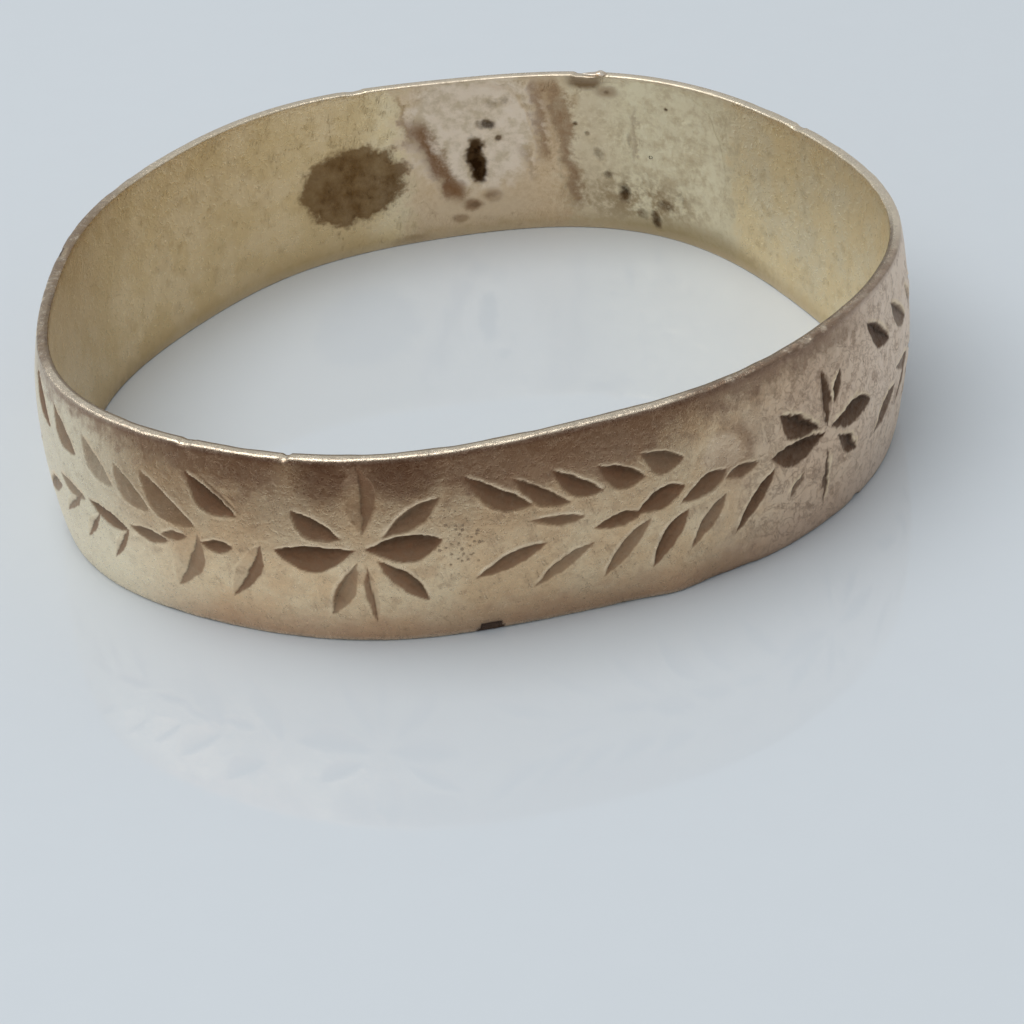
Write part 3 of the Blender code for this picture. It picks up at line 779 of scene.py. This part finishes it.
class InnerFace:
    """What lies on the inner face, the same for every piece there: masks over the angle and the height."""

    def __init__(self, paint):
        self.p = paint
        self.back, self.share = paint.field("back"), paint.field("share")
        place = paint.millimetres()
        self.cloud = paint.noise(place, 0.9, 4.0, 0.6)
        self.medium = paint.noise(place, 2.6, 4.0, 0.62)
        self.fine = paint.noise(place, 8.0, 4.0, 0.65)
        self.grain = paint.noise(place, 30.0, 3.0, 0.6)
        # What makes edges wander: less than zero in half of the places.
        self.broad, self.drift, self.fleck = self.cloud - 0.5, self.medium - 0.5, self.fine - 0.5

    def blob(self, angle, share, half_x, half_y, ragged=0.5, edge=0.25):
        """A ragged oval: its centre as an angle and a share of the height, its half-sizes in mm."""
        x = (self.back - angle * HOOP_MM) / half_x
        y = (self.share - share) * (BAND_HEIGHT / half_y)
        far = out_of_oval(x, y) + self.drift * ragged * 2.0 + self.fleck * (ragged * 0.5)
        return self.p.ramp(far, 1.0 + edge, 1.0 - edge)

    def streak(self, angle, lean, low, high, half):
        """A wavy upright streak at an angle, leaning by so many degrees over the height."""
        x = self.back - (angle + lean * (self.share - 0.5)) * HOOP_MM + self.drift * 0.9 + self.fleck * 0.135
        ends = self.p.between(self.share, low - 0.06, low + 0.06, high - 0.06, high + 0.06)
        return self.p.near_zero(x, half * 1.3) * ends

    def span(self, low, high, soft):
        """A ragged stretch between two angles, over the whole height."""
        x = self.back + self.drift * 1.8 + self.fleck * 0.54
        low, high = low * HOOP_MM, high * HOOP_MM
        return self.p.between(x, low - soft, low + soft, high - soft, high + soft)

    def colour(self, finish):
        """The colour of the inner face and how dull it is."""
        p, back, fleck = self.p, self.back, self.fleck
        cloud, medium, fine = self.cloud, self.medium, self.fine
        left = p.between(back, *(angle * HOOP_MM for angle in (188.0, 198.0, 330.0, 350.0)))
        # Firescale and solder round the repair.
        tan = self.span(162.0, 189.0, 0.5)
        pink = self.blob(177.5, 0.72, 1.75, 2.0, 0.3, 0.22)
        grey = self.span(134.5, 163.5, 0.4)
        leaden = p.layers((0.8, 0.68, 0.49), (
            (p.ramp(back, 160.0 * HOOP_MM, 152.0 * HOOP_MM), finish.grey),
            (p.ramp(medium + fleck * 0.5, 0.4, 0.74) * 0.6, (0.62, 0.5, 0.32)),
            (p.ramp(fine, 0.48, 0.26) * 0.35, (1.0, 0.92, 0.72)),
        ))
        burnt = self.blob(152.5, 0.22, 1.9, 0.9, 0.6, 0.5) * p.ramp(medium + fleck * 0.25, 0.32, 0.7)
        tone = p.layers(finish.yellow, (
            (p.ramp(cloud, 0.35, 0.68), (0.88, 0.76, 0.53)),
            (p.ramp(medium, 0.52, 0.72) * 0.45, (0.6, 0.46, 0.25)),
            (left * 0.8, p.blend(p.ramp(cloud, 0.4, 0.62), (0.67, 0.495, 0.265), (0.75, 0.57, 0.335))),
            (tan * 0.8, p.blend(p.ramp(fine, 0.32, 0.72), (0.78, 0.59, 0.4), (0.68, 0.49, 0.31))),
            (pink * 0.92, p.blend(p.ramp(medium, 0.38, 0.66), finish.pink, (0.74, 0.62, 0.46))),
            (self.blob(179.0, 0.12, 1.5, 0.8, 0.4, 0.4) * 0.6, (0.8, 0.64, 0.45)),
            (grey * 0.9, leaden),
            (burnt * 0.8, (0.38, 0.27, 0.15)),
            (self.blob(141.5, 0.03, 2.4, 0.55, 0.5, 0.5) * 0.65, (0.42, 0.32, 0.17)),
        ))
        # Coppery streaks, and the brown edge of the pale flood.
        for *line, strength in STREAKS:
            mask = self.streak(*line) * strength * (0.74 + 0.3 * (fine - 0.3))
            tone = p.blend(mask.clamped(), tone, finish.copper)
        for *spot, strength in SPOTS:
            tone = p.blend(self.blob(*spot, 0.8, 0.5) * strength, tone, finish.copper)
        # The big brown stain to the left of the repair, a small one beside the bead, and dirt along the foot.
        stain = (self.blob(197.3, 0.44, 1.5, 1.12, 0.4, 0.12) * (0.86 + 0.5 * self.drift)).clamped()
        foot = p.ramp(self.share + self.drift * 0.16, 0.13, 0.0)
        tone = p.layers(tone, (
            (self.blob(159.4, 0.97, 0.46, 0.26, 0.5, 0.4) * 0.85, finish.stain),
            (stain, finish.stain),
            (foot * 0.55, (0.5, 0.37, 0.19)),
        ))
        return tone, 0.16 * stain + 0.16 * grey + 0.12 * pink + 0.1 * tan + 0.1 * foot


def gold_paint(name, finish):
    """Worn gold: rose outside and yellower inside, with scratches, specks, stains, patina in the cuts, and
    painted shade and highlights.
    """
    p = Paint(name)
    inner = InnerFace(p)
    cloud, medium, fine, grain = inner.cloud, inner.medium, inner.fine, inner.grain
    broad, drift, fleck = inner.broad, inner.drift, inner.fleck
    inner_tone, dull = inner.colour(finish)
    around, up, side, cut, keel, lip, rim, dark, share = (
        p.field(f) for f in ("around", "up", "side", "cut", "keel", "lip", "rim", "dark", "share"))
    # Painted sheen: the far left of the outer face is painted paler, standing in for bright surroundings seen
    # in the metal.
    pale = p.ramp(around + share * 1.6, -5.4, -8.4) * p.ramp(around + broad * 3.0, -20.0, -15.0)
    rose = p.layers(finish.rose, (
        (p.ramp(cloud, 0.36, 0.66), (0.86, 0.68, 0.45)),
        (p.ramp(medium, 0.5, 0.72) * 0.45, (0.62, 0.42, 0.26)),
        (p.ramp(fine, 0.44, 0.3) * 0.3, (0.95, 0.78, 0.55)),
        # Painted sheen on the far left.
        (pale * 0.92, (1.0, 0.88, 0.655)),
    ))
    rose = p.tint(rose, 0.66 + 0.44 * grain + 0.2 * fine)
    # Painted shade below the top rim, partly real tarnish, with a clear place in it, and two lobes of it
    # beside the front star's petal.
    deeper = p.between(around, -1.2, 0.6, 3.0, 4.4) * 0.09 - p.ramp(around, 3.6, 5.2) * 0.06
    deeper = deeper - p.ramp(around, -5.0, -9.0) * 0.09
    shade = p.ramp(share + deeper + drift * 0.36 + fleck * 0.12, 0.76, 0.91)
    shade = shade * p.ramp(around + broad * 2.0, 10.6, 8.6) * p.ramp(around, -13.5, -10.5)
    shade = shade * (1 - 0.8 * p.near_zero(around + 22.6 * HOOP_MM + drift * 0.8, 0.62, 0.15))
    lobes = []
    for angle, half in ((-19.3, 0.62), (-9.0, 0.78)):
        lobe = out_of_oval((around - angle * HOOP_MM) / half, (share - 0.9) / 0.15)
        lobes.append((p.ramp(lobe + drift * 0.7 + fleck * 0.3, 1.15, 0.5) * 0.6, (0.27, 0.155, 0.095)))
    # A redder, duller foot of painted shade, standing in for the shaded table seen in the metal there, and a
    # browner right side that pales towards the back.
    foot = p.ramp(share + drift * 0.3, 0.26, 0.0) * p.between(around, -9.5, -5.0, 15.0, 20.0)
    right = p.between(around + broad * 3.0, 4.5, 8.5, 16.0, 22.0)
    # The dent, painted lighter inside as a painted highlight and with a painted shadow on its right, and
    # wrinkles round it.
    dent_x = (around - 33.0 * HOOP_MM + drift * 0.3) / 0.62
    dent = out_of_oval(dent_x, (share - 0.66) * 7.2) + fleck * 0.4
    crease = p.near_zero(p.noise(p.millimetres(), 2.3, 5.0, 0.68, 0.6) - 0.5, 0.035) * (1 - side)
    crease = crease * (0.1 + 0.75 * p.ramp(around + broad * 2.0, 5.6, 7.6) * p.ramp(around, 13.0, 11.0))
    # Specks all over, pocks beside the front star, and scratches.
    speck = p.ramp(p.cells(5.5), 0.15, 0.05) * p.ramp(medium, 0.46, 0.58)
    patch = out_of_oval((around + 3.2 * HOOP_MM) / 0.62, (share - 0.56) / 0.2) + drift * 1.2
    pocks = p.ramp(p.cells(7.0) + fleck * 0.5, 0.3, 0.16) * p.ramp(patch, 1.1, 0.7)
    along = {0: around * 9.0 + up * 3.0, 1: up * 0.7 - around * 0.3}
    scratch = p.noise(p.node("ShaderNodeCombineXYZ", None, along), 2.2, 2.0, 0.5)
    fine_line = p.near_zero(scratch - 0.5, 0.012) * p.ramp(medium, 0.5, 0.62)
    # The cuts hold patina, with painted shade darkest at the keel, and the lips beside them carry a painted
    # highlight.
    patina_and_shade = p.layers(finish.patina_and_shade, (
        (p.ramp(fine + drift * 0.8, 0.36, 0.68), (0.3, 0.155, 0.082)),
        (p.ramp(keel, 0.3, 0.0) * 0.45, (0.44, 0.265, 0.155)),
        (p.ramp(keel, 0.35, 1.0) * 0.85, (0.06, 0.028, 0.013)),
    ))
    rose = p.layers(rose, (
        # Painted shade below the top rim, partly tarnish, then its lobes.
        (shade * 0.74, finish.tarnish_and_shade),
        (p.ramp(share, 0.955, 0.98) * p.between(around, -12.0, -9.0, 11.0, 14.0) * 0.6, (0.3, 0.165, 0.11)),
        *lobes,
        # Painted shade along the foot.
        (foot * 0.7, (0.47, 0.275, 0.175)),
        (right * (1 - 0.6 * shade) * 0.7, (0.82, 0.62, 0.47)),
        (p.between(around, 8.5, 11.5, 14.5, 19.0) * 0.55, (1.0, 0.84, 0.69)),
        # More painted shade below the top rim on the right.
        (shade * right * 0.55, (0.27, 0.165, 0.105)),
        # Painted highlight inside the dent, then a painted shadow on its right.
        (p.ramp(dent, 1.0, 0.55) * 0.45, (0.92, 0.76, 0.58)),
        (p.near_zero(dent - 1.05, 0.34, 0.04) * p.ramp(dent_x, -0.1, 0.8) * 0.5, (0.4, 0.255, 0.17)),
        (crease * 0.42, (0.44, 0.29, 0.19)),
        (right * p.ramp(medium + fleck * 0.8, 0.54, 0.66) * 0.55, (0.5, 0.345, 0.24)),
        (speck * 0.55, (0.34, 0.23, 0.15)),
        (pocks * 0.75, (0.36, 0.25, 0.165)),
        (p.ramp(fine, 0.6, 0.72) * p.ramp(cloud, 0.45, 0.6) * 0.45, (0.46, 0.32, 0.21)),
        (fine_line * 0.45, (0.5, 0.36, 0.25)),
        # Painted highlight along the lips of the cuts.
        (lip.clamped(), (1.0, 0.8, 0.55)),
        # Patina in the cuts, with painted shade darkest at the keel.
        ((cut * (0.9 + 0.35 * fleck)).clamped(), p.tint(patina_and_shade, 1.0 - 0.5 * right)),
        (dark, (0.1, 0.06, 0.04)),
    ))
    # The rims are painted bright, partly rubbed wear and partly painted highlight, but dim on the right and
    # far left, and darker at their inner edge in front.
    dim = p.ramp(around + broad * 2.5, 3.8, 5.6) * p.ramp(around, 14.5, 12.5)
    dim = (dim + p.between(around, -22.0, -18.0, -11.8, -10.6)) * p.ramp(medium + fleck * 0.6, 0.82, 0.46)
    # Darker along the rims' inner edge in front.
    inner_edge_dark = p.ramp(side, 0.62, 0.95) * p.between(around, -15.5, -13.5, 13.5, 15.5)
    bright = p.layers((0.92, 0.79, 0.61), (
        (dim * 0.9, (0.26, 0.155, 0.095)),
        (inner_edge_dark * 0.85, (0.17, 0.1, 0.06)),
    ))
    # Rubbed wear and painted highlight along the rims.
    wear_and_highlight = (rim * (0.8 + 0.9 * fleck)).clamped() * (1 - dark)
    p.feed("Base Color", p.layers(rose, ((side, inner_tone), (wear_and_highlight, bright))))
    # Less metallic in the cuts, on the chips and on the lips, where the painted highlight then stays bright.
    p.feed("Metallic", (1.0 - 0.06 * cut - 0.35 * lip - 0.5 * dark).clamped())
    rough = 0.3 + 0.2 * fleck + 0.16 * (grain - 0.5) + 0.22 * cut - 0.06 * rim + 0.1 * right * (1 - side)
    p.feed("Roughness", (rough + side * dull).clamped())
    height = fine * 0.6 + grain * 0.35 + medium * 0.5 + scratch * 0.1
    height = height - 0.2 * speck - 0.4 * fine_line - 0.9 * crease - 0.7 * pocks
    p.feed("Normal", p.bump(height, 0.7, 0.00004))
    return p.material


def solder_paint(name, finish, relief):
    """Dull cast solder, coloured like the inner face round it, with burnt pits and a granular relief."""
    p = Paint(name)
    inner = InnerFace(p)
    tone, dull = inner.colour(finish)
    soft = p.ramp(p.field("pit") + inner.fleck * 0.35 + inner.drift * 0.25, 0.06, 0.96)
    burnt = p.blend(p.ramp(inner.medium, 0.4, 0.6), (0.055, 0.024, 0.008), (0.15, 0.085, 0.038))
    p.feed("Base Color", p.blend(soft, tone, burnt))
    p.feed("Metallic", 0.9 + 0.1 * soft)
    p.feed("Roughness", (0.34 + dull + 0.2 * inner.fleck + 0.3 * soft).clamped())
    height = inner.fine * 0.6 + inner.grain * 0.3 + inner.medium * 0.5
    p.feed("Normal", p.bump(height * p.field("body"), relief, 0.00005))
    return p.material


def bead_paint(name):
    """Bright solder that was left as it ran."""
    p = Paint(name, Metallic=1.0)
    cloud = p.noise(p.millimetres(), 5.0)
    p.feed("Base Color", p.blend(p.ramp(cloud, 0.4, 0.7), (0.98, 0.86, 0.72), (0.66, 0.47, 0.3)))
    p.feed("Roughness", 0.16 + 0.2 * cloud)
    p.feed("Normal", p.bump(cloud, 0.3, 0.00003))
    return p.material


# ---------------------------------------------------------------- pieces


INNER_ROWS = 20  # of faces over the inner face


def settings():
    scene = bpy.context.scene
    return scene.ring_hoop, scene.ring_finish, scene.ring_stage


def seat(obj, node):
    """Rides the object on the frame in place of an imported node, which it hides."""
    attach(obj, "root")
    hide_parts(node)


class RING_OT_band(bpy.types.Operator):
    """Makes the engraved band"""

    bl_idname = "ring.band"
    bl_label = "Engraved band"

    def execute(self, context):
        hoop_settings, finish, _ = settings()
        hoop = Hoop(hoop_settings)
        end = hoop.degrees(JOINT_WIDTH / 2 + HAIRLINE)
        start, stop = JOINT_LEFT - 360 + end, JOINT_RIGHT - end
        fine = round(hoop_settings.stations * 0.62)
        sides = round(hoop_settings.stations * 0.19)
        left, right = -82.0, 80.0  # the front, with its stations closer together
        stations = np.concatenate([
            np.linspace(start, left, sides), np.linspace(left, right, fine)[1:],
            np.linspace(right, stop, sides)[1:]])
        gold = gold_paint("worn_gold", finish)
        seat(strip("engraved_band", hoop, stations, INNER_ROWS, gold, True, 3), "band")
        return {"FINISHED"}


class RING_OT_repair(bpy.types.Operator):
    """Makes the sizing piece, the solder in its two joints and the solder that ran over the inner face"""

    bl_idname = "ring.repair"
    bl_label = "Sizing repair"

    def execute(self, context):
        hoop_settings, finish, _ = settings()
        hoop = Hoop(hoop_settings)
        half = hoop.degrees(JOINT_WIDTH / 2)
        gap = hoop.degrees(HAIRLINE)
        gold = gold_paint("sizing_gold", finish)
        copper = gold_paint("joint_copper", finish)
        rows = (
            ("let_in_piece", JOINT_RIGHT + half + gap, JOINT_LEFT - half - gap, 90, gold, "sizing_piece"),
            ("joint_fill_left", JOINT_LEFT - half, JOINT_LEFT + half, 5, copper, "joint_solder_left"),
            ("joint_fill_right", JOINT_RIGHT - half, JOINT_RIGHT + half, 5, copper, "joint_solder_right"),
        )
        for name, start, end, count, material, node in rows:
            seat(strip(name, hoop, np.linspace(start, end, count), INNER_ROWS, material), node)
        pale = solder_paint("pale_solder", finish, 0.35)
        granular = solder_paint("granular_solder", finish, 0.8)
        left = flood("pale_flood", hoop, *FLOOD_LEFT, 21, PITS_LEFT, pale, 1.0, 0.55)
        right = flood("granular_flood", hoop, *FLOOD_RIGHT, 35, PITS_RIGHT, granular, 0.0, 0.2)
        seat(left, "solder_flood_left")
        seat(right, "solder_flood_right")
        seat(bead("bead_on_rim", hoop, bead_paint("bright_solder")), "rim_bead")
        return {"FINISHED"}


TABLE_SIZE = 2.4
SOFTBOX_PLACE = (-0.095, -0.01, 0.25)
# Cards: (name, its arc, how many degrees fade out at each end, (distance, height) of both edges in mm).
CARDS = (
    ("flat_card", (-78.0, 60.0), 24.0, (15.2, 0.05), (600.0, 0.05)),
    ("low_card", (-106.0, 130.0), 36.0, (600.0, 0.05), (624.0, 156.0)),
)
CARD_STATIONS = 49


class RING_OT_stage(bpy.types.Operator):
    """Makes the table, the lights, the sky and the camera"""

    bl_idname = "ring.stage"
    bl_label = "Stage"

    def execute(self, context):
        hoop_settings, _, stage = settings()
        hoop = Hoop(hoop_settings)
        bpy.context.scene.view_settings.view_transform = "Standard"
        self.add_table(stage)
        self.add_lights()
        self.add_dark_cards(hoop)
        self.add_camera(hoop, stage)
        return {"FINISHED"}

    def add_table(self, stage):
        p = Paint("glossy_table", Roughness=0.05)
        mottle = p.noise(p.place(), 900.0, 3.0, 0.6)
        light = tuple(min(1.0, c * 1.02) for c in stage.table)
        p.feed("Base Color", p.blend(mottle, stage.table, light))
        corners = ((-1, -1, 0), (1, -1, 0), (1, 1, 0), (-1, 1, 0))
        points = np.array(corners) * (TABLE_SIZE / 2 / MM)
        table = mesh_object("table", points, np.array([[0, 1, 2, 3]]), {}, p.material)

    def add_lights(self):
        world = bpy.data.worlds.new("soft_room")
        bpy.context.scene.world = world
        world.use_nodes = True
        sky = world.node_tree.nodes["Background"].inputs
        sky["Color"].default_value = (0.9, 0.95, 1.0, 1.0)
        sky["Strength"].default_value = 0.52
        light = bpy.data.lights.new("softbox", "AREA")
        light.size = 0.24
        light.energy = 0.43
        lamp = bpy.data.objects.new("softbox", light)
        lamp.location = SOFTBOX_PLACE
        lamp.rotation_mode = "QUATERNION"
        lamp.rotation_quaternion = lamp.location.to_track_quat("Z", "Y")
        bpy.context.scene.collection.objects.link(lamp)

    def add_dark_cards(self, hoop):
        """Dark cards in front, seen only in the metal: one flat near the ring and a low wall behind it."""
        p = Paint("dark_card", Roughness=1.0, Specular_IOR_Level=0.0)
        p.feed("Base Color", p.blend(p.noise(p.millimetres(), 0.03), (0.16, 0.11, 0.085), (0.2, 0.14, 0.11)))
        behind = p.node("ShaderNodeNewGeometry", output="Backfacing")
        clear = p.node("ShaderNodeBsdfTransparent")
        unseen = behind.math("MAXIMUM", behind, 1 - p.field("shown"))
        mixed = p.node("ShaderNodeMixShader", None, {0: unseen, 1: Wire(p, p.shader.outputs[0]), 2: clear})
        p.join(p.tree.nodes["Material Output"].inputs["Surface"], mixed)
        for name, arc, fade, inner, outer in CARDS:
            angles = np.linspace(*arc, CARD_STATIONS)
            shown = smooth(0.0, fade, np.minimum(angles - arc[0], arc[1] - angles))
            rings = [hoop.place(angles, far + 0 * angles, height) for far, height in (inner, outer)]
            index = np.arange(2 * CARD_STATIONS).reshape(2, CARD_STATIONS)
            quads = np.stack([index[0, :-1], index[1, :-1], index[1, 1:], index[0, 1:]], axis=-1)
            card = mesh_object(name, np.concatenate(rings), quads, {"shown": np.tile(shown, 2)}, p.material)
            card.visible_camera = False
            card.visible_diffuse = False
            card.visible_shadow = False

    def add_camera(self, hoop, stage):
        ahead = Vector((0.0, math.cos(stage.elevation), -math.sin(stage.elevation)))
        right = Vector((1.0, 0.0, 0.0))
        upward = right.cross(ahead)
        cos, sin = math.cos(stage.roll), math.sin(stage.roll)
        turned_right, turned_up = right * cos - upward * sin, right * sin + upward * cos
        aim = right * stage.aim_right + upward * stage.aim_up + Vector(hoop.shift) * MM
        camera = bpy.data.objects.new("camera", bpy.data.cameras.new("camera"))
        camera.data.lens = stage.lens
        camera.data.clip_start = 0.001
        rotation = Matrix((turned_right, turned_up, -ahead)).transposed()
        camera.matrix_world = Matrix.Translation(aim - ahead * stage.distance) @ rotation.to_4x4()
        bpy.context.scene.collection.objects.link(camera)
        bpy.context.scene.camera = camera


class RING_PT_panel(bpy.types.Panel):
    """Lists the ring's pieces and settings"""

    bl_label = "Wedding band"
    bl_space_type = "VIEW_3D"
    bl_region_type = "UI"
    bl_category = "Ring"

    def draw(self, context):
        for operator in OPERATORS:
            self.layout.operator(operator.bl_idname)
        for group in settings():
            box = self.layout.box()
            for prop in group.bl_rna.properties:
                if not prop.is_readonly and prop.identifier not in ("rna_type", "name"):
                    box.prop(group, prop.identifier)


GROUPS = {"ring_hoop": HoopSettings, "ring_finish": FinishSettings, "ring_stage": StageSettings}
OPERATORS = (RING_OT_band, RING_OT_repair, RING_OT_stage)


def register():
    for cls in (*GROUPS.values(), *OPERATORS, RING_PT_panel):
        bpy.utils.register_class(cls)
    for name, cls in GROUPS.items():
        setattr(bpy.types.Scene, name, PointerProperty(type=cls))


def unregister():
    for name in GROUPS:
        delattr(bpy.types.Scene, name)
    for cls in reversed((*GROUPS.values(), *OPERATORS, RING_PT_panel)):
        bpy.utils.unregister_class(cls)


def main():
    register()
    for operator in OPERATORS:
        group, action = operator.bl_idname.split(".")
        getattr(getattr(bpy.ops, group), action)()


if __name__ == "__main__":
    main()
